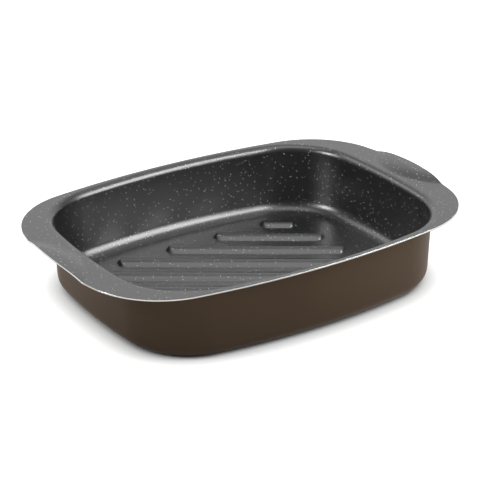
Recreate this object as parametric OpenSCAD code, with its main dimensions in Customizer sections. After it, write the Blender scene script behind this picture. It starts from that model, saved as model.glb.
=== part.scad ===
// Deep baking pan, drawn in one piece from aluminium sheet: a rounded rectangular tray with
// upright walls, a flat rim with a raised thumb grip on each short end, and raised diagonal
// ribs across the floor. The sheet is lined inside with non-stick and lacquered outside, and
// its cut edge is bare. X runs along the pan, Y across it, and Z = 0 is the table it stands on.

/* [Rim] */
// Width of the flat rim between the lip's bend and the edge, at the middle of an end
end_flat = 29.4; // [15:0.2:45]
// Width of the flat rim between the lip's bend and the edge, at the middle of a long side
side_flat = 2.4; // [1.6:0.2:12]
// Radius of the rim's corners
rim_corner_r = 81; // [70:1:90]
// How far the rim's long edges bow out between the corners
rim_side_bow = 9.5; // [5:0.5:12]
// How far the rim's short edges bow out between the corners
rim_end_bow = 5; // [2:0.5:7]
// Height of the rim's flat top over the table
rim_height = 70; // [45:1:90]

/* [Walls] */
// Length over the outside of the walls, just under the bend to the rim
wall_length = 331; // [300:1:335]
// Width over the outside of the walls, just under the bend to the rim
wall_width = 266; // [240:1:268]
// Radius of the wall's upright corners, seen from above
wall_corner_r = 73; // [65:1:80]
// How far the long walls bow out between the corners
wall_side_bow = 7.5; // [4:0.5:10]
// How far the end walls bow out between the corners
wall_end_bow = 2.5; // [1:0.5:5]
// How far a wall leans in on its way down
wall_lean = 2; // [0:0.5:8]
// Radius of the bend from floor to wall, measured outside
floor_bend_r = 14.5; // [8:0.5:20]
// Radius of the bend from wall to rim, measured inside
lip_bend_r = 7; // [4:0.5:9]

/* [Sheet] */
// Thickness of the aluminium
sheet_t = 1.5; // [0.8:0.1:2.5]
// Thickness of the non-stick lining
lining_t = 0.2; // [0.2:0.05:0.4]
// Thickness of the outer lacquer
lacquer_t = 0.2; // [0.2:0.05:0.4]

/* [Ribs] */
// Pairs of ribs beside the middle one
rib_pair_count = 4; // [0:1:4]
// Distance from rib to rib
rib_pitch = 30.8; // [26:0.2:34]
// Angle between the ribs and the long walls, in degrees
rib_angle = 34; // [0:1:60]
// Width of a rib at its foot
rib_width = 20; // [14:0.5:22]
// Height of a rib over the floor
rib_height = 4; // [2:0.25:5]
// Length of the field that the ribs end in
rib_field_length = 235; // [180:1:240]
// Width of the field that the ribs end in
rib_field_width = 188; // [150:1:190]
// Radius of the circle that trims the ribs towards the corners, as a share of the distance
// from rib to rib
rib_circle_share = 4.33; // [4.25:0.01:5]
// How far the radius of a rib's round ends, seen from above, is over half the rib's width
rib_end_extra = 0.5; // [0.5:0.5:4]
// Steepness of a rib's ends, in degrees
rib_end_slope = 56; // [40:1:65]

/* [Grips] */
// Height of a grip's crown over the rim
grip_height = 4.5; // [2:0.25:8]
// Radius of the crown's arch along the rim
grip_crown_r = 600; // [300:5:900]
// Radius of the round foot line that bounds a grip
grip_foot_r = 72; // [66:0.5:76]
// Distance from the lip's bend out to the nearest point of the foot line
grip_gap = 3.4; // [2:0.2:12]
// Steepness of the way up from the foot line to the crown, in degrees
grip_slope = 20; // [15:1:65]

/* [Hidden] */
// Facets of a full circle: the ribs, the section's bends, the foot lines of the grips, and the
// outlines' corners and long arcs
$fn = 16;
bend_fn = 16;
foot_fn = 48;
corner_fn = 36;
arc_fn = 108;
// Facets over one arc of a swept wall: along a side, along an end, round a corner
side_facet_count = 5;
end_facet_count = 3;
corner_facet_count = 6;

// Depths of the four skins' surfaces, counted inward from the outermost one
sheet_outer = lacquer_t;
sheet_inner = lacquer_t + sheet_t;
total_t = lacquer_t + sheet_t + lining_t;

// Size of the rim over everything
rim_length = wall_length + 2 * (lip_bend_r - total_t + end_flat);
rim_width = wall_width + 2 * (lip_bend_r - total_t + side_flat);

// How far a cutting shape runs past what it cuts
overrun = sheet_t * 4;
// Reach that covers the whole pan from its middle
reach = rim_length + rim_width;
// Length of the lines out through an outline's tangent points, as a share of their arcs' reach
far_share = 0.5;
// Swept pieces that meet face to face run this far into each other, so that they fuse
seam_share = 0.00001;
seam = sheet_t * seam_share;
// Width of a swept bend's flat edge, and how far from the bend the flat sheet starts that it
// runs on into, so that the two lap
lap_share = 0.8;
lap = side_flat * lap_share;
lap_gap_share = 0.25;
lap_gap = lap * lap_gap_share;

// Radius of a rib's round ends
rib_end_r = rib_width / 2 + rib_end_extra;

// Rim plane of the surface at a depth
function rim_z(depth) = rim_height - total_t + depth;

// Four-sided outline of tangent arcs, for the quarter where X and Y are positive: centres of
// the side arc, the end arc and the corner arc, then their three radii in the same order
function outline(length, width, corner_r, side_bow, end_bow) =
    let (c = [length / 2 - end_bow - corner_r, width / 2 - side_bow - corner_r],
         side_reach = (c.x ^ 2 + side_bow ^ 2) / (2 * side_bow),
         end_reach = (c.y ^ 2 + end_bow ^ 2) / (2 * end_bow))
    [[0, c.y + side_bow - side_reach], [c.x + end_bow - end_reach, 0], c,
     side_reach + corner_r, end_reach + corner_r, corner_r];

rim_line = outline(rim_length, rim_width, rim_corner_r, rim_side_bow, rim_end_bow);
wall_line = outline(wall_length, wall_width, wall_corner_r, wall_side_bow, wall_end_bow);

// Centre of the floor bend, as [distance out from the wall line, height]
floor_bend_c = [-wall_lean - floor_bend_r, floor_bend_r];
// Centre of the lip bend, the same way
lip_bend_c = [lip_bend_r - total_t, rim_height - lip_bend_r];

// Half the angles that an outline's side arc and end arc cover
function half_angles(line) =
    [atan(line[2].x / (line[2].y - line[0].y)), atan(line[2].y / (line[2].x - line[1].x))];

// Far ends of the lines from a corner's centre straight out through the corner's two tangent
// points: first towards the side arc, then towards the end arc
function far_points(line) =
    [for (i = [0, 1]) line[2] + (line[2] - line[i]) * far_share];

// Field of an outline that its side arc covers, outside the line between two corner centres
module side_field(line) {
    near = line[2] + [seam, -seam];
    far = far_points(line)[0] + [seam, 0];
    polygon([near, far, [-far.x, far.y], [-near.x, near.y]]);
}

// Field that its end arc covers
module end_field(line) {
    near = line[2] + [-seam, seam];
    far = far_points(line)[1] + [0, seam];
    polygon([near, far, [far.x, -far.y], [near.x, -near.y]]);
}

// Field that its corner arc covers
module corner_field(line) {
    far = far_points(line);
    polygon([line[2], far[0], far[0] + far[1] - line[2], far[1]]);
}

// Flat area inside an outline that is moved outward by off
module area(line, off) {
    square(2 * line[2], center = true);
    for (i = [0, 1]) {
        mirror([0, i]) intersection() {
            translate(line[0]) circle(line[3] + off, $fn = arc_fn);
            side_field(line);
        }
        mirror([i, 0]) intersection() {
            translate(line[1]) circle(line[4] + off, $fn = arc_fn);
            end_field(line);
        }
        for (j = [0, 1]) mirror([i, 0]) mirror([0, j]) intersection() {
            translate(line[2]) circle(line[5] + off, $fn = corner_fn);
            corner_field(line);
        }
    }
}

// Sweeps a section round an outline. The section's X counts outward from the outline.
module sweep_round(line) {
    half = half_angles(line);
    corner_half = (90 - half[0] - half[1]) / 2;
    for (i = [0, 1]) {
        mirror([0, i, 0]) intersection() {
            sweep_arc(line[0], line[3], 90, half[0], side_facet_count) children();
            upright() side_field(line);
        }
        mirror([i, 0, 0]) intersection() {
            sweep_arc(line[1], line[4], 0, half[1], end_facet_count) children();
            upright() end_field(line);
        }
        for (j = [0, 1]) mirror([i, 0, 0]) mirror([0, j, 0]) intersection() {
            sweep_arc(line[2], line[5], half[1] + corner_half, corner_half, corner_facet_count)
                children();
            upright() corner_field(line);
        }
    }
}

// Sweeps a section about c to both sides of a direction, and one facet further on each side.
// A facet ends where the arc does.
module sweep_arc(c, r, direction, half, facet_count) {
    step = 2 * half / facet_count;
    translate(c)
        rotate_extrude(angle = 2 * half + 2 * step, start = direction - half - step,
                       $fn = floor(360 / step))
            translate([r, 0]) children();
}

module upright() {
    translate([0, 0, -overrun]) linear_extrude(rim_height + 2 * overrun) children();
}

// Quarter of a ring round c. The signs x and y say which quarter.
module bend(c, r_in, r_out, x, y) {
    intersection() {
        translate(c) difference() {
            circle(r_out, $fn = bend_fn);
            circle(r_in, $fn = bend_fn);
        }
        translate([min(c.x, c.x + x * 2 * r_out), min(c.y, c.y + y * 2 * r_out)]) square(2 * r_out);
    }
}

// Section of the floor bend, the wall and the lip bend between two depths
module wall_section(from, to) {
    translate([floor_bend_c.x - lap, from]) square([lap, to - from]);
    bend(floor_bend_c, floor_bend_r - to, floor_bend_r - from, 1, -1);
    polygon([[-wall_lean - from, floor_bend_c.y], [-from, lip_bend_c.y],
             [-to, lip_bend_c.y], [-wall_lean - to, floor_bend_c.y]]);
    bend(lip_bend_c, lip_bend_c.x + from, lip_bend_c.x + to, -1, 1);
    translate([lip_bend_c.x, rim_z(from)]) square([lap, to - from]);
}

// Distances along a rib, from the point nearest the pan's middle, at which it ends. A line that
// misses the field ends before it starts.
function rib_ends(d) =
    let (c = cos(rib_angle), s = sin(rib_angle), x = rib_field_length / 2, y = rib_field_width / 2,
         trim = sqrt((rib_pitch * rib_circle_share) ^ 2 - d ^ 2),
         across = s > 0 ? [(d * c - y) / s, (d * c + y) / s]
             : abs(d) < y ? [-reach, reach] : [reach, -reach])
    [max((-x - d * s) / c, across[0], -trim), min((x - d * s) / c, across[1], trim)];

// Everything under the ribs' surface at a depth, down to a height of z_low
module ribs_solid(depth, z_low) {
    crest_r = (rib_width ^ 2 / 4 + rib_height ^ 2) / (2 * rib_height) - (total_t - depth);
    end_r = rib_end_r - (total_t - depth) * tan(rib_end_slope / 2);
    crest_z = depth + rib_height;
    top_z = crest_z + sheet_t;
    for (i = [-rib_pair_count:rib_pair_count]) {
        d = i * rib_pitch;
        ends = rib_ends(d);
        // Half the length between the centres of both ends. The shortest rib is a round button.
        half = max((ends[1] - ends[0]) / 2 - rib_end_r, 0);
        if (ends[1] > ends[0]) rotate(-rib_angle)
            translate([(ends[0] + ends[1]) / 2, d, 0]) intersection() {
                translate([0, 0, crest_z - crest_r]) rotate([0, 90, 0])
                    cylinder(r = crest_r, h = 2 * (half + rib_end_r), center = true);
                union() {
                    if (half > 0) translate([-half, -end_r, z_low])
                        cube([2 * half, 2 * end_r, top_z - z_low]);
                    for (x = half > 0 ? [-half, half] : [0]) translate([x, 0, z_low])
                        cylinder(r1 = end_r + (depth - z_low) / tan(rib_end_slope),
                                 r2 = end_r - (top_z - depth) / tan(rib_end_slope),
                                 h = top_z - z_low);
                }
            }
    }
}

// Floor between two depths, pressed up into the ribs
module floor_skin(from, to) {
    difference() {
        union() {
            translate([0, 0, from])
                linear_extrude(to - from) area(wall_line, floor_bend_c.x - lap_gap);
            ribs_solid(to, (from + to) / 2);
        }
        ribs_solid(from, from - overrun);
    }
}

// Everything under the two grips' surface at a depth, down to a height of z_low
module grips_solid(depth, z_low) {
    z = rim_z(depth);
    foot_r = grip_foot_r - (total_t - depth) * tan(grip_slope / 2);
    top = z + grip_height * 2;
    for (side = [-1, 1]) intersection() {
        translate([side * (wall_length / 2 + lip_bend_c.x + grip_gap + grip_foot_r), 0, z_low])
            cylinder(r1 = foot_r + (z - z_low) / tan(grip_slope),
                     r2 = foot_r - (top - z) / tan(grip_slope), h = top - z_low, $fn = foot_fn);
        translate([side * rim_length / 4, 0, z + grip_height - grip_crown_r + total_t - depth])
            rotate([0, side * 90, 0])
                cylinder(r = grip_crown_r - total_t + depth, h = rim_length / 2, $fn = arc_fn);
    }
}

// Rim between two depths, pressed up into the grips and cut to its outline
module rim_skin(from, to) {
    difference() {
        intersection() {
            translate([0, 0, rim_z(from) - overrun])
                linear_extrude(grip_height + to - from + 2 * overrun) area(rim_line, 0);
            union() {
                translate([0, 0, rim_z(from)]) linear_extrude(to - from) difference() {
                    square(reach, center = true);
                    area(wall_line, lip_bend_c.x + lap_gap);
                }
                grips_solid(to, (rim_z(from) + rim_z(to)) / 2);
            }
        }
        grips_solid(from, rim_z(from) - overrun);
    }
}

// Wall with both its bends between two depths
module wall_skin(from, to) {
    sweep_round(wall_line) wall_section(from, to);
}

module pressed_sheet() {
    color("#c9cbcc") {
        wall_skin(sheet_outer, sheet_inner);
        floor_skin(sheet_outer, sheet_inner);
        rim_skin(sheet_outer, sheet_inner);
    }
}

module nonstick_lining() {
    color("#3a3b3d") {
        wall_skin(sheet_inner, total_t);
        floor_skin(sheet_inner, total_t);
        rim_skin(sheet_inner, total_t);
    }
}

module wall_lacquer() {
    color("#54463c") {
        wall_skin(0, sheet_outer);
        rim_skin(0, sheet_outer);
    }
}

module base_lacquer() {
    color("#4a3e35") floor_skin(0, sheet_outer);
}

pressed_sheet();
nonstick_lining();
wall_lacquer();
base_lacquer();
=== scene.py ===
"""Dresses the deep baking pan: smooth pressed faces, flecked lining, brown lacquer, bare edge."""
import logging
import math
from dataclasses import dataclass, field
from enum import Enum
from typing import Callable, Iterable, Optional, Union

import bmesh
import bpy
from mathutils import Matrix, Vector


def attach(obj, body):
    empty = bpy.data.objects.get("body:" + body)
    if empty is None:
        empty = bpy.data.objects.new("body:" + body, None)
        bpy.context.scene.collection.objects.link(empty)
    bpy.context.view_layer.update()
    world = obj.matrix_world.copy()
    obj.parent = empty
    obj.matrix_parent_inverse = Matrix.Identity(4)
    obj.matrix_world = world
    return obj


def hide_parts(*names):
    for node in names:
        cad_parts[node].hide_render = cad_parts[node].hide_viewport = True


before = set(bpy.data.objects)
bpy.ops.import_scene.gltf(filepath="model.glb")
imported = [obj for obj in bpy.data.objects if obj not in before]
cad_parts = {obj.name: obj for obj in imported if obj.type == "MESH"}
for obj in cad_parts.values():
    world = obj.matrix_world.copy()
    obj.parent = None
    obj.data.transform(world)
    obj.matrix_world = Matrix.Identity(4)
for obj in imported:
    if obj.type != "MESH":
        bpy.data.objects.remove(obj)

log = logging.getLogger("baking_pan")
logging.basicConfig(level=logging.INFO, format="%(name)s: %(message)s")

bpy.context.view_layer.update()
MM = 0.001
BODY = "root"

Socket = bpy.types.NodeSocket
Vert = bmesh.types.BMVert
Colour = tuple[float, float, float]
Span = tuple[float, float]
Feed = Union[Socket, float, Colour]
Feeds = dict[Union[str, int], Feed]

# Numbers of the Mix node's sockets for colours and for numbers
FIRST_COLOUR, SECOND_COLOUR, MIXED_COLOUR = 6, 7, 2
FIRST_NUMBER, SECOND_NUMBER = 2, 3
# Middle of a pattern that runs from 0 to 1
MIDDLE = 0.5
HALF = 0.5


class Coat(Enum):
    """The pan's pieces, named as their solids are."""

    SHEET = "pressed_sheet"
    LINING = "nonstick_lining"
    WALLS = "wall_lacquer"
    BASE = "base_lacquer"


def soft_positive(height: float, blend: float) -> float:
    """Rounds the foot where a raised form leaves a flat one.

    Args:
        height: signed height of the raised form over the flat.
        blend: half the height over which the two are blended.

    Returns:
        Zero well outside, height well inside, and a parabola between.
    """
    if height <= -blend:
        return 0.0
    if height >= blend:
        return height
    return (height + blend) ** 2 / (4 * blend)


def soft_least(first: float, second: float, blend: float) -> float:
    """Rounds the edge between two surfaces.

    Args:
        first: height of one surface.
        second: height of the other.
        blend: difference in height under which the two are blended.

    Returns:
        The lower height, eased where they are close.
    """
    overlap = max(blend - abs(first - second), 0.0)
    return min(first, second) - overlap * overlap / (4 * blend)


@dataclass(frozen=True)
class Arc:
    """One arc of an outline, as a centre, a sweep in radians and a number of steps."""

    centre: Vector
    sweep: float
    steps: int


@dataclass(frozen=True)
class Outline:
    """Closed outline of eight tangent arcs round the origin, seen from above."""

    length: float
    width: float
    corner_r: float
    side_bow: float
    end_bow: float

    @property
    def corner(self) -> Vector:
        """Centre of the corner arc where X and Y are positive."""
        return Vector((self.length / 2 - self.end_bow - self.corner_r,
                       self.width / 2 - self.side_bow - self.corner_r, 0))

    @property
    def side_reach(self) -> float:
        """Radius of the side arc, less the corner's."""
        return (self.corner.x ** 2 + self.side_bow ** 2) / (2 * self.side_bow)

    @property
    def end_reach(self) -> float:
        """Radius of the end arc, less the corner's."""
        return (self.corner.y ** 2 + self.end_bow ** 2) / (2 * self.end_bow)

    @property
    def side_centre(self) -> Vector:
        """Centre of the side arc where Y is positive."""
        return Vector((0, self.corner.y + self.side_bow - self.side_reach, 0))

    @property
    def end_centre(self) -> Vector:
        """Centre of the end arc where X is positive."""
        return Vector((self.corner.x + self.end_bow - self.end_reach, 0, 0))

    @property
    def side_angle(self) -> float:
        """Half the sweep of a side arc."""
        return math.atan2(self.corner.x, self.side_reach - self.side_bow)

    @property
    def end_angle(self) -> float:
        """Half the sweep of an end arc."""
        return math.atan2(self.corner.y, self.end_reach - self.end_bow)

    def arcs(self, end_steps: int, corner_steps: int, side_steps: int) -> list[Arc]:
        """Lists the arcs in order, from the middle of the end where X is positive.

        Args:
            end_steps: steps over half an end arc.
            corner_steps: steps over a corner arc.
            side_steps: steps over a side arc.

        Returns:
            The arcs, once round.
        """
        turn = math.pi / 2 - self.side_angle - self.end_angle
        end, side, corner = self.end_centre, self.side_centre, self.corner
        quarter = Arc(corner, turn, corner_steps)
        across = Arc(Vector((-corner.x, corner.y, 0)), turn, corner_steps)
        return [
            Arc(end, self.end_angle, end_steps),
            quarter,
            Arc(side, 2 * self.side_angle, side_steps),
            across,
            Arc(-end, 2 * self.end_angle, 2 * end_steps),
            Arc(-corner, turn, corner_steps),
            Arc(-side, 2 * self.side_angle, side_steps),
            Arc(-across.centre, turn, corner_steps),
            Arc(end, self.end_angle, end_steps),
        ]

    def beyond(self, x: float, y: float) -> tuple[float, Vector]:
        """Measures a point against the outline.

        Args:
            x: the point's X.
            y: the point's Y.

        Returns:
            How far the point lies outside the outline, and the outward direction there.
        """
        ax, ay = abs(x), abs(y)
        side, end, corner = self.side_centre, self.end_centre, self.corner
        if math.atan2(ax, ay - side.y) < self.side_angle:
            away, reach = Vector((ax, ay - side.y, 0)), self.side_reach + self.corner_r
        elif math.atan2(ay, ax - end.x) < self.end_angle:
            away, reach = Vector((ax - end.x, ay, 0)), self.end_reach + self.corner_r
        else:
            away, reach = Vector((ax - corner.x, ay - corner.y, 0)), self.corner_r
        out = away.normalized()
        return away.length - reach, Vector((math.copysign(out.x, x), math.copysign(out.y, y), 0))


@dataclass(frozen=True)
class FloorRibs:
    """Raised ribs that run diagonally across the floor, all pressed up from below."""

    each_side: int = 4
    pitch: float = 30.8 * MM
    angle: float = math.radians(34)
    width: float = 20 * MM
    height: float = 4 * MM
    field_length: float = 235 * MM
    field_width: float = 188 * MM
    # Radius of the circle that trims the ribs towards the corners, as a share of the pitch
    circle_share: float = 4.33
    end_r: float = 10.5 * MM
    end_slope: float = math.radians(56)
    foot_blend: float = 0.5 * MM
    crest_blend: float = 0.9 * MM
    # The patch of mesh round a rib: its flat margin, how far its outline bows out, its faces
    margin: float = 2.0 * MM
    side_swell: float = 0.4 * MM
    end_swell: float = 0.8 * MM
    across_steps: int = 30
    tip_steps: int = 14
    middle_steps: int = 4

    def turn(self) -> Matrix:
        """Turn from a rib's own axes to the pan's."""
        return Matrix.Rotation(-self.angle, 4, "Z")

    def distances(self) -> list[float]:
        """Distance of each rib from the pan's middle."""
        return [i * self.pitch for i in range(-self.each_side, self.each_side + 1)]

    def ends(self, distance: float) -> tuple[float, float]:
        """Finds where a rib ends.

        Args:
            distance: the rib's distance from the pan's middle.

        Returns:
            Both ends, measured along the rib.
        """
        c, s = math.cos(self.angle), math.sin(self.angle)
        x, y = self.field_length / 2, self.field_width / 2
        trim = math.sqrt((self.pitch * self.circle_share) ** 2 - distance ** 2)
        low = max((-x - distance * s) / c, (distance * c - y) / s, -trim)
        high = min((x - distance * s) / c, (distance * c + y) / s, trim)
        return low, high

    def rise(self, along: float, across: float, low: float, high: float) -> float:
        """Height of a rib over the floor.

        Args:
            along: place along the rib.
            across: place across it, from its middle line.
            low: the rib's end with the lower number.
            high: its other end.

        Returns:
            The height, zero outside the rib.
        """
        arc_r = (self.width ** 2 / 4 + self.height ** 2) / (2 * self.height)
        arc = math.sqrt(max(arc_r ** 2 - across ** 2, 0.0)) - arc_r + self.height
        middle, half = (low + high) / 2, (high - low) / 2 - self.end_r
        past = max(abs(along - middle) - half, 0.0)
        end = (self.end_r - math.hypot(past, across)) * math.tan(self.end_slope)
        return soft_positive(soft_least(arc, end, self.crest_blend), self.foot_blend)

    def add_patch(self, mesh: bmesh.types.BMesh, distance: float,
                  floor: float) -> list[bmesh.types.BMEdge]:
        """Adds one rib with the strip of flat floor round it.

        Args:
            mesh: the mesh that takes the patch.
            distance: the rib's distance from the pan's middle.
            floor: height of the floor's face.

        Returns:
            The patch's outer edges.
        """
        low, high = self.ends(distance)
        count = 2 * self.tip_steps + self.middle_steps
        made = bmesh.ops.create_grid(mesh, x_segments=count, y_segments=self.across_steps, size=1)
        tip = self.margin + self.end_r
        reach = (high - low) / 2 + self.margin
        for vert in made["verts"]:
            step = round((vert.co.x + 1) / 2 * count)
            inner = min(step, count - step)
            if inner <= self.tip_steps:
                out = reach - tip * inner / self.tip_steps
            else:
                out = (reach - tip) * (count - 2 * inner) / self.middle_steps
            place, side = vert.co.x, vert.co.y
            swell = 1 - out * out / (reach * reach)
            across = side * (self.width / 2 + self.margin + self.side_swell * swell)
            out += self.end_swell * (1 - side * side) * out / reach
            along = (low + high) / 2 + math.copysign(out, place)
            vert.co = (along, across + distance, floor + self.rise(along, across, low, high))
        bmesh.ops.transform(mesh, matrix=self.turn(), verts=made["verts"])
        faces = {face for vert in made["verts"] for face in vert.link_faces}
        return [edge for face in faces for edge in face.edges if edge.is_boundary]


@dataclass(frozen=True)
class ThumbGrips:
    """Raised pads on the rim's two short ends, each bounded by a round foot line."""

    height: float = 4.5 * MM
    crown_r: float = 600 * MM
    foot_r: float = 72 * MM
    foot_centre: float = 246 * MM
    slope: float = math.radians(20)
    foot_blend: float = 0.3 * MM
    crown_blend: float = 2.6 * MM

    def rise(self, x: float, y: float) -> float:
        """Height of a grip over the flat rim.

        Args:
            x: place along the pan.
            y: place across the pan.

        Returns:
            The height, zero on the rest of the rim.
        """
        crown = math.sqrt(self.crown_r ** 2 - y ** 2) - self.crown_r + self.height
        inside = self.foot_r - math.hypot(abs(x) - self.foot_centre, y)
        step = inside * math.tan(self.slope)
        return soft_positive(soft_least(crown, step, self.crown_blend), self.foot_blend)


@dataclass(frozen=True)
class PressedForm:
    """Sizes of the pressing, and its inner face as one surface."""

    rim: Outline = Outline(length=399.98 * MM, width=280.88 * MM, corner_r=81 * MM,
                           side_bow=9.44 * MM, end_bow=5 * MM)
    wall: Outline = Outline(length=331 * MM, width=266 * MM, corner_r=73 * MM,
                            side_bow=7.5 * MM, end_bow=2.5 * MM)
    rim_height: float = 70 * MM
    wall_lean: float = 2 * MM
    floor_bend_r: float = 14.5 * MM
    lip_bend_r: float = 7 * MM
    lacquer_t: float = 0.2 * MM
    sheet_t: float = 1.5 * MM
    lining_t: float = 0.2 * MM
    ribs: FloorRibs = FloorRibs()
    grips: ThumbGrips = ThumbGrips()
    # Ring of flat floor that is swept with the walls, and the rim's width before its stretch
    floor_margin: float = 2.5 * MM
    nominal_rim: float = 30 * MM
    bend_steps: int = 12
    wall_steps: int = 5
    lip_steps: int = 9
    rim_steps: int = 30
    end_steps: int = 52
    corner_steps: int = 28
    side_steps: int = 40
    # Rounds in which the rim's edge is closed in on, and distances that count as none
    rim_tries: int = 12
    weld: float = 0.005 * MM
    touch: float = 0.0001 * MM

    @property
    def total_t(self) -> float:
        """Thickness of the sheet with its coats."""
        return self.lacquer_t + self.sheet_t + self.lining_t

    @property
    def floor_bend(self) -> Vector:
        """Centre of the floor bend: out from the wall line, and height."""
        return Vector((-self.wall_lean - self.floor_bend_r, self.floor_bend_r))

    @property
    def lip_bend(self) -> Vector:
        """Centre of the lip bend: out from the wall line, and height."""
        return Vector((self.lip_bend_r - self.total_t, self.rim_height - self.lip_bend_r))

    def lean(self) -> float:
        """Angle between the straight part of the wall and the upright."""
        between = self.lip_bend - self.floor_bend
        apart = self.floor_bend_r - self.total_t + self.lip_bend_r
        return math.acos(apart / between.length) - math.atan2(between.y, between.x)

    def _place(self, out: float, height: float) -> Vector:
        """Place on the section, from how far out it lies from the wall line, and its height."""
        return Vector((self.wall.length / 2 + out, 0, height))

    def _draw_to(self, mesh: bmesh.types.BMesh, start: Vert, end: Vector, steps: int = 1) -> Vert:
        """Draws a straight stretch of the section.

        Args:
            mesh: the mesh that takes it.
            start: the section's last vertex.
            end: where the stretch ends.
            steps: number of edges in it.

        Returns:
            The new last vertex.
        """
        step = (end - start.co) / steps
        for _ in range(steps):
            start = bmesh.ops.extrude_vert_indiv(mesh, verts=[start])["verts"][0]
            start.co += step
        return start

    def _bend(self, mesh: bmesh.types.BMesh, start: Vert, centre: Vector, turn: int,
              steps: int) -> Vert:
        """Draws a bend of the section.

        Args:
            mesh: the mesh that takes it.
            start: the section's last vertex.
            centre: the bend's centre: out from the wall line, and height.
            turn: 1 or -1, the way round that it turns.
            steps: number of edges in it.

        Returns:
            The new last vertex.
        """
        made = bmesh.ops.spin(mesh, geom=[start], cent=self._place(*centre), axis=(0, turn, 0),
                              angle=math.pi / 2 - self.lean(), steps=steps)
        return next(item for item in made["geom_last"] if isinstance(item, Vert))

    def add_section(self, mesh: bmesh.types.BMesh) -> None:
        """Draws the inner face's section from the floor to the rim, at the end where Y is zero.

        Args:
            mesh: an empty mesh.
        """
        lean, floor, lip = self.lean(), self.floor_bend, self.lip_bend
        wall_top = lip - Vector((math.cos(lean), -math.sin(lean))) * self.lip_bend_r
        last = mesh.verts.new(self._place(floor.x - self.floor_margin, self.total_t))
        last = self._draw_to(mesh, last, self._place(floor.x, self.total_t))
        last = self._bend(mesh, last, floor, -1, self.bend_steps)
        last = self._draw_to(mesh, last, self._place(*wall_top), self.wall_steps)
        last = self._bend(mesh, last, lip, 1, self.lip_steps)
        rim_end = self._place(lip.x + self.nominal_rim, self.rim_height)
        self._draw_to(mesh, last, rim_end, self.rim_steps)

    def to_rim(self, foot: Vector, out: Vector) -> float:
        """Measures the flat rim.

        Args:
            foot: a point on the lip's outer end.
            out: direction across the rim.

        Returns:
            The distance from there to the trimmed edge.
        """
        distance = 0.0
        for _ in range(self.rim_tries):
            place = foot + out * distance
            distance -= self.rim.beyond(place.x, place.y)[0]
        return distance

    def shape_rim(self, mesh: bmesh.types.BMesh) -> None:
        """Stretches the rim out to its trimmed edge, then raises the grips.

        Args:
            mesh: the swept face, with a rim of one width.
        """
        start = self.lip_bend.x
        for vert in mesh.verts:
            over, out = self.wall.beyond(vert.co.x, vert.co.y)
            if vert.co.z < self.rim_height - self.touch or over < start + self.touch:
                continue
            foot = vert.co - out * (over - start)
            share = (over - start) / self.nominal_rim
            place = foot + out * share * self.to_rim(foot, out)
            vert.co = (place.x, place.y, self.rim_height + self.grips.rise(place.x, place.y))

    def inner_face(self) -> bmesh.types.BMesh:
        """Makes the inner face: swept walls and rim, then the floor with its ribs.

        Returns:
            A surface with one open edge, its faces pointing into the pan.
        """
        mesh = bmesh.new()
        self.add_section(mesh)
        section = list(mesh.verts) + list(mesh.edges)
        for arc in self.wall.arcs(self.end_steps, self.corner_steps, self.side_steps):
            made = bmesh.ops.spin(mesh, geom=section, cent=arc.centre, axis=(0, 0, 1),
                                  angle=arc.sweep, steps=arc.steps)
            section = made["geom_last"]
        bmesh.ops.remove_doubles(mesh, verts=mesh.verts, dist=self.weld)
        self.shape_rim(mesh)
        edges = [edge for edge in mesh.edges
                 if edge.is_boundary and edge.verts[0].co.z < self.floor_bend_r]
        for distance in self.ribs.distances():
            edges += self.ribs.add_patch(mesh, distance, self.total_t)
        bmesh.ops.triangle_fill(mesh, edges=edges, use_beauty=True, normal=(0, 0, 1))
        bmesh.ops.recalc_face_normals(mesh, faces=mesh.faces)
        floor = max(mesh.faces, key=lambda face: -face.calc_center_median().length)
        if floor.normal.z < 0:
            bmesh.ops.reverse_faces(mesh, faces=mesh.faces)
        return mesh

    def skin(self, face: bmesh.types.BMesh, outer: float, inner: float,
             keep: Optional[Callable[[Vector], bool]] = None) -> bmesh.types.BMesh:
        """Makes one closed skin of the pressing.

        Args:
            face: the inner face, which stays as it is.
            outer: depth of the skin's outer face, counted from the outside of the pan.
            inner: depth of its inner face.
            keep: says from a face's middle whether the skin has it, or None for all.

        Returns:
            The closed skin.
        """
        mesh = face.copy()
        if keep:
            left_out = [part for part in mesh.faces if not keep(part.calc_center_median())]
            bmesh.ops.delete(mesh, geom=left_out, context="FACES")
        mesh.normal_update()
        sink = self.total_t - inner
        for vert, place in [(vert, vert.co - vert.normal * sink) for vert in mesh.verts]:
            vert.co = place
        bmesh.ops.solidify(mesh, geom=mesh.faces, thickness=inner - outer)
        bmesh.ops.recalc_face_normals(mesh, faces=mesh.faces)
        return mesh

    def on_floor(self, middle: Vector) -> bool:
        """Says whether a face of the inner face belongs to the flat floor and its ribs."""
        return self.wall.beyond(middle.x, middle.y)[0] < self.floor_bend.x

    def off_floor(self, middle: Vector) -> bool:
        """Says whether a face of the inner face belongs to the walls or the rim."""
        return not self.on_floor(middle)


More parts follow.
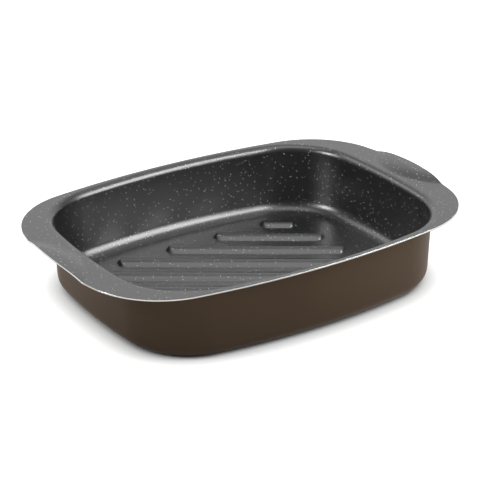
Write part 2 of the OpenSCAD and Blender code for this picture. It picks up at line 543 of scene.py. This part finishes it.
class Desk:
    """A node tree under work, with short ways to add nodes and to join them."""

    def __init__(self, tree: bpy.types.NodeTree) -> None:
        """Takes the tree.

        Args:
            tree: the tree that gets the nodes.
        """
        self.tree = tree

    def feed(self, target: Socket, value: Feed) -> None:
        """Gives an input socket its value.

        Args:
            target: the input socket.
            value: a socket to join to it, a number, or a colour or vector of three numbers.
        """
        if isinstance(value, Socket):
            self.tree.links.new(value, target)
        elif isinstance(value, tuple) and len(value) < len(target.default_value):
            target.default_value = (*value, 1.0)
        else:
            target.default_value = value

    def add(self, kind: str, inputs: Optional[Feeds] = None, **settings: object) -> bpy.types.Node:
        """Adds a node.

        Args:
            kind: Blender's name of the node, without the leading ShaderNode.
            inputs: what its inputs get, by their names or numbers.
            settings: its own settings, by their names.

        Returns:
            The node.
        """
        node = self.tree.nodes.new(f"ShaderNode{kind}")
        for name, value in settings.items():
            setattr(node, name, value)
        for label, value in (inputs or {}).items():
            self.feed(node.inputs[label], value)
        return node

    def place(self, kind: str = "Object") -> Socket:
        """Adds the coordinates of the shaded point, of the kind that is named."""
        return self.add("TexCoord").outputs[kind]

    def math(self, operation: str, *values: Feed, clamp: bool = False) -> Socket:
        """Adds a sum on numbers.

        Args:
            operation: Blender's name of the operation.
            values: one to three numbers or sockets.
            clamp: whether the result stays from 0 to 1.

        Returns:
            The result.
        """
        return self.add("Math", dict(enumerate(values)), operation=operation,
                        use_clamp=clamp).outputs[0]

    def vector(self, operation: str, *values: Feed) -> Socket:
        """Adds a sum on vectors.

        Args:
            operation: Blender's name of the operation.
            values: one or two vectors or sockets.

        Returns:
            The result, a number for a dot product or a length and a vector otherwise.
        """
        node = self.add("VectorMath", dict(enumerate(values)), operation=operation)
        return node.outputs["Value" if operation in ("DOT_PRODUCT", "LENGTH") else "Vector"]

    def scaled(self, value: Socket, scale: Socket) -> Socket:
        """Adds a product of a vector and a number."""
        return self.add("VectorMath", {0: value, "Scale": scale}, operation="SCALE").outputs[0]

    def blend(self, factor: Socket, low: Feed, high: Feed) -> Socket:
        """Adds a mix of two colours.

        Args:
            factor: how much of the second.
            low: a colour of three numbers, or a socket.
            high: a colour of three numbers, or a socket.

        Returns:
            The mixed colour.
        """
        inputs = {"Factor": factor, FIRST_COLOUR: low, SECOND_COLOUR: high}
        return self.add("Mix", inputs, data_type="RGBA").outputs[MIXED_COLOUR]

    def ranged(self, value: Socket, low: float, high: float,
               start: float = 0.0, end: float = 1.0) -> Socket:
        """Adds a mapping from one range to another, past which the result stays the same.

        Args:
            value: the number to map.
            low: what the start becomes.
            high: what the end becomes.
            start: where the range starts.
            end: where it ends.

        Returns:
            The mapped number.
        """
        inputs = {"Value": value, "To Min": low, "To Max": high, "From Min": start, "From Max": end}
        return self.add("MapRange", inputs).outputs["Result"]


class EffectDesk(Desk):
    """A node group under work, whose inputs and outputs are all numbers."""

    def __init__(self, name: str, inputs: dict[str, float], outputs: Iterable[str]) -> None:
        """Starts the group.

        Args:
            name: the group's name.
            inputs: its inputs with their defaults.
            outputs: its outputs.
        """
        super().__init__(bpy.data.node_groups.new(name, "ShaderNodeTree"))
        for label, value in inputs.items():
            self._socket(label, "INPUT").default_value = value
        for label in outputs:
            self._socket(label, "OUTPUT")
        self.source = self.tree.nodes.new("NodeGroupInput")
        self.result = self.tree.nodes.new("NodeGroupOutput")

    def _socket(self, label: str, side: str) -> bpy.types.NodeTreeInterfaceSocket:
        """Adds a number to one side of the group."""
        return self.tree.interface.new_socket(label, in_out=side, socket_type="NodeSocketFloat")

    def given(self, label: str) -> Socket:
        """Finds what comes in under a name."""
        return self.source.outputs[label]

    def give(self, label: str, value: Socket) -> None:
        """Sends a value out under a name."""
        self.feed(self.result.inputs[label], value)


@dataclass(frozen=True)
class Grain:
    """Fine uneven grain of a sprayed coat or a rolled sheet, from 0 to 1."""

    scale: float = 900.0
    softness: float = 0.5
    detail: float = 3.0

    def build(self) -> bpy.types.NodeTree:
        """Makes the node group.

        Returns:
            The group, with inputs Scale and Softness and output Value.
        """
        desk = EffectDesk("coat_grain", {"Scale": self.scale, "Softness": self.softness}, ["Value"])
        noise = desk.add("TexNoise", {"Vector": desk.place(), "Scale": desk.given("Scale"),
                                      "Roughness": desk.given("Softness"), "Detail": self.detail})
        desk.give("Value", noise.outputs["Fac"])
        return desk.tree


@dataclass(frozen=True)
class Film:
    """Broad faint clouding that handling and baking leave on a coat, from 0 to 1."""

    scale: float = 14.0
    contrast: float = 1.6
    detail: float = 4.0
    distortion: float = 0.6

    def build(self) -> bpy.types.NodeTree:
        """Makes the node group.

        Returns:
            The group, with inputs Scale and Contrast and output Value.
        """
        desk = EffectDesk("coat_film", {"Scale": self.scale, "Contrast": self.contrast}, ["Value"])
        noise = desk.add("TexNoise", {"Vector": desk.place(), "Scale": desk.given("Scale"),
                                      "Detail": self.detail, "Distortion": self.distortion})
        spread = desk.math("SUBTRACT", noise.outputs["Fac"], MIDDLE)
        desk.give("Value", desk.math("MULTIPLY_ADD", spread, desk.given("Contrast"), MIDDLE,
                                     clamp=True))
        return desk.tree


@dataclass(frozen=True)
class Flecks:
    """Short pale dashes that lie every way in a coat: a mask, and how pale each one is.

    Each dash belongs to a point scattered near the surface and is laid flat on it.
    """

    scale: float = 150.0
    length: float = 1.0 * MM
    width: float = 0.4 * MM
    depth: float = 0.3
    shortest: float = 0.6
    length_spread: float = 0.8
    crispness: float = 3.0

    def build(self) -> bpy.types.NodeTree:
        """Makes the node group.

        Returns:
            The group, with inputs Scale, Length, Width and Depth and outputs Mask and Shade.
        """
        desk = EffectDesk("coat_flecks", {"Scale": self.scale, "Length": self.length,
                                          "Width": self.width, "Depth": self.depth},
                          ["Mask", "Shade"])
        place, normal = desk.place(), desk.place("Normal")
        cells = desk.add("TexVoronoi", {"Vector": place, "Scale": desk.given("Scale")}, feature="F1")
        chance = desk.add("SeparateColor", {"Color": cells.outputs["Color"]})
        offset = desk.vector("SUBTRACT", place, cells.outputs["Position"])
        deep = desk.vector("DOT_PRODUCT", offset, normal)
        flat = desk.vector("SUBTRACT", offset, desk.scaled(normal, deep))
        any_way = desk.vector("SUBTRACT", cells.outputs["Color"], (MIDDLE, MIDDLE, MIDDLE))
        lie = desk.vector("NORMALIZE", desk.vector("CROSS_PRODUCT", normal, any_way))
        along = desk.vector("DOT_PRODUCT", flat, lie)
        across = desk.vector("LENGTH", desk.vector("CROSS_PRODUCT", flat, lie))
        size = desk.math("MULTIPLY_ADD", chance.outputs[0], self.length_spread, self.shortest)
        half_length = desk.math("MULTIPLY", desk.math("MULTIPLY", desk.given("Length"), HALF), size)
        half_width = desk.math("MULTIPLY", desk.given("Width"), HALF)
        reach = desk.math("ADD", self._square(desk, along, half_length),
                          self._square(desk, across, half_width))
        inside = desk.math("MULTIPLY", desk.math("SUBTRACT", 1.0, reach), self.crispness, clamp=True)
        depth = desk.math("MULTIPLY", desk.math("ABSOLUTE", deep), desk.given("Scale"))
        near = desk.math("LESS_THAN", depth, desk.given("Depth"))
        desk.give("Mask", desk.math("MULTIPLY", inside, near))
        desk.give("Shade", chance.outputs[2])
        return desk.tree

    @staticmethod
    def _square(desk: Desk, distance: Socket, half: Socket) -> Socket:
        """Adds the square of a distance counted in a dash's half sizes."""
        return desk.math("POWER", desk.math("DIVIDE", distance, half), 2.0)


class Effects:
    """Shader effects that several finishes share, each built once as a node group."""

    def __init__(self) -> None:
        """Builds every group."""
        self.grain = Grain().build()
        self.flecks = Flecks().build()
        self.film = Film().build()


class MaterialBench(Desk):
    """A material under work, round its Principled BSDF."""

    def __init__(self, name: str) -> None:
        """Starts the material.

        Args:
            name: the material's name.
        """
        self.material = bpy.data.materials.new(name)
        self.material.use_nodes = True
        super().__init__(self.material.node_tree)
        self.shader = self.tree.nodes["Principled BSDF"]

    def effect(self, tree: bpy.types.NodeTree, **values: float) -> bpy.types.Node:
        """Places a shared effect.

        Args:
            tree: the effect's group.
            values: its inputs, by name.

        Returns:
            The group's node.
        """
        return self.add("Group", values, node_tree=tree)

    def dress(self, inputs: Feeds) -> None:
        """Feeds the shader.

        Args:
            inputs: what its inputs get, by name.
        """
        for label, value in inputs.items():
            self.feed(self.shader.inputs[label], value)

    def bump(self, *heights: tuple[Socket, float]) -> Socket:
        """Chains bumps.

        Args:
            heights: pairs of a height and its depth in metres.

        Returns:
            The bumped normal.
        """
        inputs: Feeds = {}
        for height, depth in heights:
            node = self.add("Bump", {"Height": height, "Distance": depth, **inputs})
            inputs = {"Normal": node.outputs["Normal"]}
        return inputs["Normal"]


@dataclass(frozen=True)
class FleckedNonstick:
    """Dark non-stick coat with pale flecks in it."""

    name: str = "flecked_nonstick"
    dark: Colour = (0.0075, 0.0077, 0.0081)
    light: Colour = (0.0112, 0.0115, 0.0121)
    fleck_low: Colour = (0.26, 0.26, 0.27)
    fleck_high: Colour = (0.88, 0.88, 0.89)
    roughness: Span = (0.29, 0.34)
    ior: float = 2.08
    film_scale: float = 16.0
    fleck_scale: float = 160.0
    fleck_length: float = 1.7 * MM
    fleck_width: float = 0.42 * MM
    fleck_depth: float = 0.38
    fleck_bump: float = 0.02 * MM
    grain_scale: float = 1200.0
    grain_bump: float = 0.06 * MM
    wave_scale: float = 75.0
    wave_contrast: float = 1.0
    wave_bump: float = 0.10 * MM

    def material(self, effects: Effects) -> bpy.types.Material:
        """Makes the material.

        Args:
            effects: the shared effects.

        Returns:
            The material.
        """
        bench = MaterialBench(self.name)
        film = bench.effect(effects.film, Scale=self.film_scale).outputs["Value"]
        grain = bench.effect(effects.grain, Scale=self.grain_scale).outputs["Value"]
        waves = bench.effect(effects.film, Scale=self.wave_scale,
                             Contrast=self.wave_contrast).outputs["Value"]
        flecks = bench.effect(effects.flecks, Scale=self.fleck_scale, Length=self.fleck_length,
                              Width=self.fleck_width, Depth=self.fleck_depth)
        mask = flecks.outputs["Mask"]
        ground = bench.blend(film, self.dark, self.light)
        pale = bench.blend(flecks.outputs["Shade"], self.fleck_low, self.fleck_high)
        bench.dress({
            "Base Color": bench.blend(mask, ground, pale),
            "Roughness": bench.ranged(film, *self.roughness),
            "IOR": self.ior,
            "Normal": bench.bump((waves, self.wave_bump), (grain, self.grain_bump),
                                 (mask, self.fleck_bump)),
        })
        return bench.material


@dataclass(frozen=True)
class BrownLacquer:
    """Heat-proof lacquer with a fine metallic grain."""

    name: str
    dark: Colour = (0.073, 0.0475, 0.0292)
    light: Colour = (0.110, 0.0733, 0.0458)
    worn_gain: float = 1.12
    most_worn: float = 0.5
    roughness: Span = (0.50, 0.56)
    metallic: float = 0.8
    ior: float = 1.5
    film_scale: float = 11.0
    grain_scale: float = 3000.0
    grain_bump: float = 0.02 * MM

    def material(self, effects: Effects) -> bpy.types.Material:
        """Makes the material.

        Args:
            effects: the shared effects.

        Returns:
            The material.
        """
        bench = MaterialBench(self.name)
        film = bench.effect(effects.film, Scale=self.film_scale).outputs["Value"]
        grain = bench.effect(effects.grain, Scale=self.grain_scale).outputs["Value"]
        tone = bench.blend(grain, self.dark, self.light)
        worn = tuple(part * self.worn_gain for part in self.light)
        bench.dress({
            "Base Color": bench.blend(bench.ranged(film, 0.0, self.most_worn), tone, worn),
            "Roughness": bench.ranged(film, *self.roughness),
            "Metallic": self.metallic,
            "IOR": self.ior,
            "Normal": bench.bump((grain, self.grain_bump)),
        })
        return bench.material


@dataclass(frozen=True)
class BareAluminium:
    """Bright sheet metal, bare where the sheet is trimmed."""

    name: str = "bare_aluminium"
    dark: Colour = (0.90, 0.89, 0.86)
    light: Colour = (0.97, 0.96, 0.93)
    roughness: Span = (0.22, 0.36)
    film_scale: float = 60.0
    grain_scale: float = 1400.0
    grain_softness: float = 0.7
    grain_bump: float = 0.03 * MM

    def material(self, effects: Effects) -> bpy.types.Material:
        """Makes the material.

        Args:
            effects: the shared effects.

        Returns:
            The material.
        """
        bench = MaterialBench(self.name)
        film = bench.effect(effects.film, Scale=self.film_scale).outputs["Value"]
        grain = bench.effect(effects.grain, Scale=self.grain_scale,
                             Softness=self.grain_softness).outputs["Value"]
        bench.dress({
            "Base Color": bench.blend(film, self.dark, self.light),
            "Roughness": bench.ranged(grain, *self.roughness),
            "Metallic": 1.0,
            "Normal": bench.bump((grain, self.grain_bump)),
        })
        return bench.material


@dataclass
class Pan:
    """The pan as its four pieces, all made from one pressed form."""

    effects: Effects
    form: PressedForm = field(default_factory=PressedForm)
    edge_break: float = 0.22 * MM
    edge_segments: int = 2
    sharp_angle: float = math.radians(55)

    def __post_init__(self) -> None:
        """Makes the inner face that every piece follows."""
        self.face = self.form.inner_face()

    def _finish(self, mesh: bmesh.types.BMesh, coat: Coat,
                material: bpy.types.Material) -> None:
        """Turns a mesh into a dressed piece that stands for its solid.

        Args:
            mesh: the piece's mesh, which is freed.
            coat: which piece it is.
            material: its finish.
        """
        data = bpy.data.meshes.new(f"{coat.value}_form")
        mesh.to_mesh(data)
        mesh.free()
        data.materials.append(material)
        data.shade_smooth()
        piece = bpy.data.objects.new(f"{coat.value}_form", data)
        bpy.context.scene.collection.objects.link(piece)
        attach(piece, BODY)
        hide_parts(coat.value)
        log.info("%s: %d faces", piece.name, len(data.polygons))

    def _sharp_edges(self, mesh: bmesh.types.BMesh) -> list[bmesh.types.BMEdge]:
        """Finds a skin's cut edges.

        Args:
            mesh: the skin.

        Returns:
            Its edges between two faces that meet at a sharp angle.
        """
        return [edge for edge in mesh.edges
                if len(edge.link_faces) == 2 and edge.calc_face_angle(0.0) > self.sharp_angle]

    def _keep_crisp(self, mesh: bmesh.types.BMesh) -> None:
        """Keeps a skin's cut edges crisp under smooth shading."""
        for edge in self._sharp_edges(mesh):
            edge.smooth = False

    def make_lining(self) -> None:
        """Makes the non-stick lining."""
        form, finish = self.form, FleckedNonstick()
        mesh = form.skin(self.face, form.lacquer_t + form.sheet_t, form.total_t)
        self._keep_crisp(mesh)
        self._finish(mesh, Coat.LINING, finish.material(self.effects))

    def make_sheet(self) -> None:
        """Makes the aluminium sheet, its trimmed edge slightly rounded."""
        form, finish = self.form, BareAluminium()
        mesh = form.skin(self.face, form.lacquer_t, form.lacquer_t + form.sheet_t)
        bmesh.ops.bevel(mesh, geom=self._sharp_edges(mesh), offset=self.edge_break,
                        affect="EDGES", segments=self.edge_segments, profile=0.5, material=-1)
        self._finish(mesh, Coat.SHEET, finish.material(self.effects))

    def make_wall_lacquer(self) -> None:
        """Makes the lacquer outside the walls and under the rim."""
        form, finish = self.form, BrownLacquer("brown_lacquer")
        mesh = form.skin(self.face, 0.0, form.lacquer_t, form.off_floor)
        self._keep_crisp(mesh)
        self._finish(mesh, Coat.WALLS, finish.material(self.effects))

    def make_base_lacquer(self) -> None:
        """Makes the lacquer under the floor, with the ribs as grooves."""
        form, finish = self.form, BrownLacquer("base_lacquer")
        mesh = form.skin(self.face, 0.0, form.lacquer_t, form.on_floor)
        self._keep_crisp(mesh)
        self._finish(mesh, Coat.BASE, finish.material(self.effects))


@dataclass(frozen=True)
class Viewpoint:
    """Where the photograph was taken from, as a camera fitted to its outlines."""

    azimuth: float = math.radians(-32.344)
    elevation: float = math.radians(24.476)
    roll: float = math.radians(-0.69)
    target: Vector = field(default_factory=lambda: Vector((45.45, 76.27, 0)) * MM)
    distance: float = 1720 * MM
    focal_px: float = 1723.0
    frame_px: float = 480.0
    sensor: float = 36.0
    nearest: float = 0.05
    farthest: float = 50.0

    @property
    def back(self) -> Vector:
        """Direction from the pan to the camera."""
        a, e = self.azimuth, self.elevation
        return Vector((math.sin(a) * math.cos(e), -math.cos(a) * math.cos(e), math.sin(e)))

    @property
    def right(self) -> Vector:
        """Direction to the camera's right, along the floor."""
        return Vector((math.cos(self.azimuth), math.sin(self.azimuth), 0))

    @property
    def front(self) -> Vector:
        """Direction to the camera's side, along the floor."""
        return Vector((self.back.x, self.back.y, 0)).normalized()

    def away(self, desk: Desk, place: Socket) -> Socket:
        """Adds how far a place lies on the side away from the camera.

        Args:
            desk: the tree that gets the node.
            place: the place or direction.

        Returns:
            Its part along the floor, away from the camera.
        """
        return desk.vector("DOT_PRODUCT", place, tuple(-self.front))

    def add_camera(self) -> None:
        """Places the camera."""
        right, back = self.right, self.back
        up = back.cross(right)
        c, s = math.cos(self.roll), math.sin(self.roll)
        turned = (right * c + up * s, up * c - right * s, back)
        data = bpy.data.cameras.new("camera")
        data.sensor_width = self.sensor
        data.lens = self.sensor * self.focal_px / self.frame_px
        data.clip_start, data.clip_end = self.nearest, self.farthest
        camera = bpy.data.objects.new("camera", data)
        bpy.context.scene.collection.objects.link(camera)
        place = self.target + back * self.distance
        rows = Matrix(turned).transposed().to_4x4()
        camera.matrix_world = Matrix.Translation(place) @ rows
        bpy.context.scene.camera = camera


@dataclass(frozen=True)
class SoftBox:
    """A soft box that faces the pan, its direction given as seen from the camera.

    Lengths are in metres, and the radiance is the brightness of its face.
    """

    name: str
    side: float
    front: float
    up: float
    width: float
    height: float
    radiance: float
    reach: float = 1.5

    def hang(self, view: Viewpoint) -> None:
        """Hangs the box.

        Args:
            view: where the camera stands.
        """
        up = Vector((0, 0, self.up))
        towards = (view.right * self.side + view.front * self.front + up).normalized()
        data = bpy.data.lights.new(self.name, "AREA")
        data.shape = "RECTANGLE"
        data.size, data.size_y = self.width, self.height
        data.energy = math.pi * self.width * self.height * self.radiance
        lamp = bpy.data.objects.new(self.name, data)
        bpy.context.scene.collection.objects.link(lamp)
        lamp.matrix_world = (Matrix.Translation(towards * self.reach)
                             @ towards.to_track_quat("Z", "Y").to_matrix().to_4x4())


@dataclass(frozen=True)
class Stop:
    """A brightness of the room, at a spot from 0 on the camera's side to 1 behind the pan."""

    spot: float
    level: float


@dataclass(frozen=True)
class Room:
    """Pale room: white to the camera, dim as light, and brightest behind the pan in reflections."""

    light: float = 0.3
    stops: tuple[Stop, ...] = (
        Stop(spot=0.08, level=0.10),
        Stop(spot=0.42, level=0.26),
        Stop(spot=0.725, level=0.26),
        Stop(spot=0.925, level=1.0),
    )

    def build(self, view: Viewpoint) -> None:
        """Makes the world.

        Args:
            view: where the camera stands.
        """
        world = bpy.data.worlds.new("room")
        bpy.context.scene.world = world
        world.use_nodes = True
        desk = Desk(world.node_tree)
        away = view.away(desk, desk.place("Generated"))
        wall = desk.add("ValToRGB", {"Fac": desk.ranged(away, 0.0, 1.0, start=-1.0)})
        wall.color_ramp.interpolation = "EASE"
        marks = wall.color_ramp.elements
        for stop in self.stops[1:-1]:
            marks.new(stop.spot)
        for mark, stop in zip(marks, self.stops):
            mark.position = stop.spot
            mark.color = (stop.level, stop.level, stop.level, 1)
        rays = desk.add("LightPath").outputs
        unseen = desk.add("Mix", {"Factor": rays["Is Glossy Ray"], FIRST_NUMBER: self.light,
                                  SECOND_NUMBER: wall.outputs["Color"]}).outputs["Result"]
        shade = world.node_tree.nodes["Background"].inputs
        desk.feed(shade["Color"], (1.0, 1.0, 1.0))
        desk.feed(shade["Strength"], desk.math("MAXIMUM", rays["Is Camera Ray"], unseen))


@dataclass(frozen=True)
class PaleFloor:
    """Plain pale floor that keeps the pan's shadow, has a painted contact shadow at the pan's foot,
    shows white, and is clear from below.
    """

    half_side: float = 6.0
    steps: int = 8
    gap: float = 0.02 * MM
    dark: Colour = (0.37, 0.37, 0.37)
    light: Colour = (0.40, 0.40, 0.40)
    cloud_scale: float = 3.0
    roughness: float = 0.9
    specular: float = 0.2
    # To the camera: the glow, and how near the pan and how covered the floor goes dark in a painted
    # contact shadow
    glow: float = 1.06
    painted_shadow_reach: float = 28 * MM
    painted_shadow_cover: float = 0.19
    # In reflections: two glows of painted reflected light, and the places, away from the camera,
    # between which they rise; close before the pan the floor stays dark as painted shade
    back_glow: float = 0.7
    back_span: Span = (-190 * MM, 30 * MM)
    front_glow: float = 0.6
    front_span: Span = (-220 * MM, -340 * MM)

    def lay(self, view: Viewpoint) -> None:
        """Lays the floor.

        Args:
            view: where the camera stands.
        """
        mesh = bmesh.new()
        bmesh.ops.create_grid(mesh, x_segments=self.steps, y_segments=self.steps,
                              size=self.half_side)
        data = bpy.data.meshes.new("floor")
        mesh.to_mesh(data)
        mesh.free()
        data.materials.append(self.material(view))
        floor = bpy.data.objects.new("floor", data)
        bpy.context.scene.collection.objects.link(floor)
        floor.location.z = -self.gap

    def _glow(self, bench: MaterialBench, view: Viewpoint) -> Socket:
        """Adds how strongly the floor glows to the camera and in reflections.

        Args:
            bench: the floor's material.
            view: where the camera stands.

        Returns:
            White to the camera but for a painted contact shadow at the pan's foot; in reflections,
            a painted glow, bright behind the pan and out in front of it, with painted shade close
            before it.
        """
        rays = bench.add("LightPath").outputs
        # Painted contact shadow: the glow to the camera fades where the pan covers the floor nearby
        nearby = bench.add("AmbientOcclusion", {"Distance": self.painted_shadow_reach}).outputs["AO"]
        clear = bench.ranged(nearby, 0.0, self.glow, start=self.painted_shadow_cover)
        # Painted reflected light: a glow seen only in reflections, rising behind the pan and far in
        # front, and left dark close before the pan as painted shade
        away = view.away(bench, bench.place())
        behind = bench.ranged(away, 0.0, self.back_glow, *self.back_span)
        before = bench.ranged(away, 0.0, self.front_glow, *self.front_span)
        mirrored = bench.math("MULTIPLY", rays["Is Glossy Ray"], bench.math("ADD", behind, before))
        return bench.math("MULTIPLY_ADD", rays["Is Camera Ray"], clear, mirrored)

    def material(self, view: Viewpoint) -> bpy.types.Material:
        """Makes the floor's material.

        Args:
            view: where the camera stands.

        Returns:
            The material.
        """
        bench = MaterialBench("pale_floor")
        cloud = bench.add("TexNoise", {"Scale": self.cloud_scale}).outputs["Fac"]
        bench.dress({
            "Base Color": bench.blend(cloud, self.dark, self.light),
            "Roughness": self.roughness,
            "Specular IOR Level": self.specular,
        })
        glow = bench.add("Emission", {"Strength": self._glow(bench, view)})
        above = bench.add("AddShader", {0: bench.shader.outputs[0], 1: glow.outputs[0]})
        below = bench.add("BsdfTransparent")
        facing = bench.add("NewGeometry").outputs["Backfacing"]
        both = bench.add("MixShader", {"Fac": facing, 1: above.outputs[0], 2: below.outputs[0]})
        bench.feed(bench.tree.nodes["Material Output"].inputs["Surface"], both.outputs[0])
        return bench.material


@dataclass(frozen=True)
class Studio:
    """Camera, soft boxes, pale room and pale floor."""

    view: Viewpoint = field(default_factory=Viewpoint)
    boxes: tuple[SoftBox, ...] = (
        SoftBox("right_box", side=0.72, front=0.22, up=0.58, width=0.5, height=1.25, radiance=8.6),
        SoftBox("left_box", side=-0.78, front=0.28, up=0.48, width=0.4, height=0.5, radiance=15.5),
        SoftBox("rear_left_box", side=-0.66, front=-0.45, up=0.55, width=0.7, height=0.7,
                radiance=1.6),
        SoftBox("top_box", side=0.0, front=-0.08, up=1.0, width=1.1, height=1.2, radiance=1.2),
    )
    room: Room = Room()
    floor: PaleFloor = PaleFloor()

    def build(self) -> None:
        """Sets up the whole studio."""
        self.view.add_camera()
        for box in self.boxes:
            box.hang(self.view)
        self.room.build(self.view)
        self.floor.lay(self.view)
        bpy.context.scene.view_settings.view_transform = "Standard"


def main() -> None:
    """Builds the studio, then the pan piece by piece."""
    Studio().build()
    pan = Pan(Effects())
    pan.make_lining()
    pan.make_sheet()
    pan.make_wall_lacquer()
    pan.make_base_lacquer()


if __name__ == "__main__":
    main()
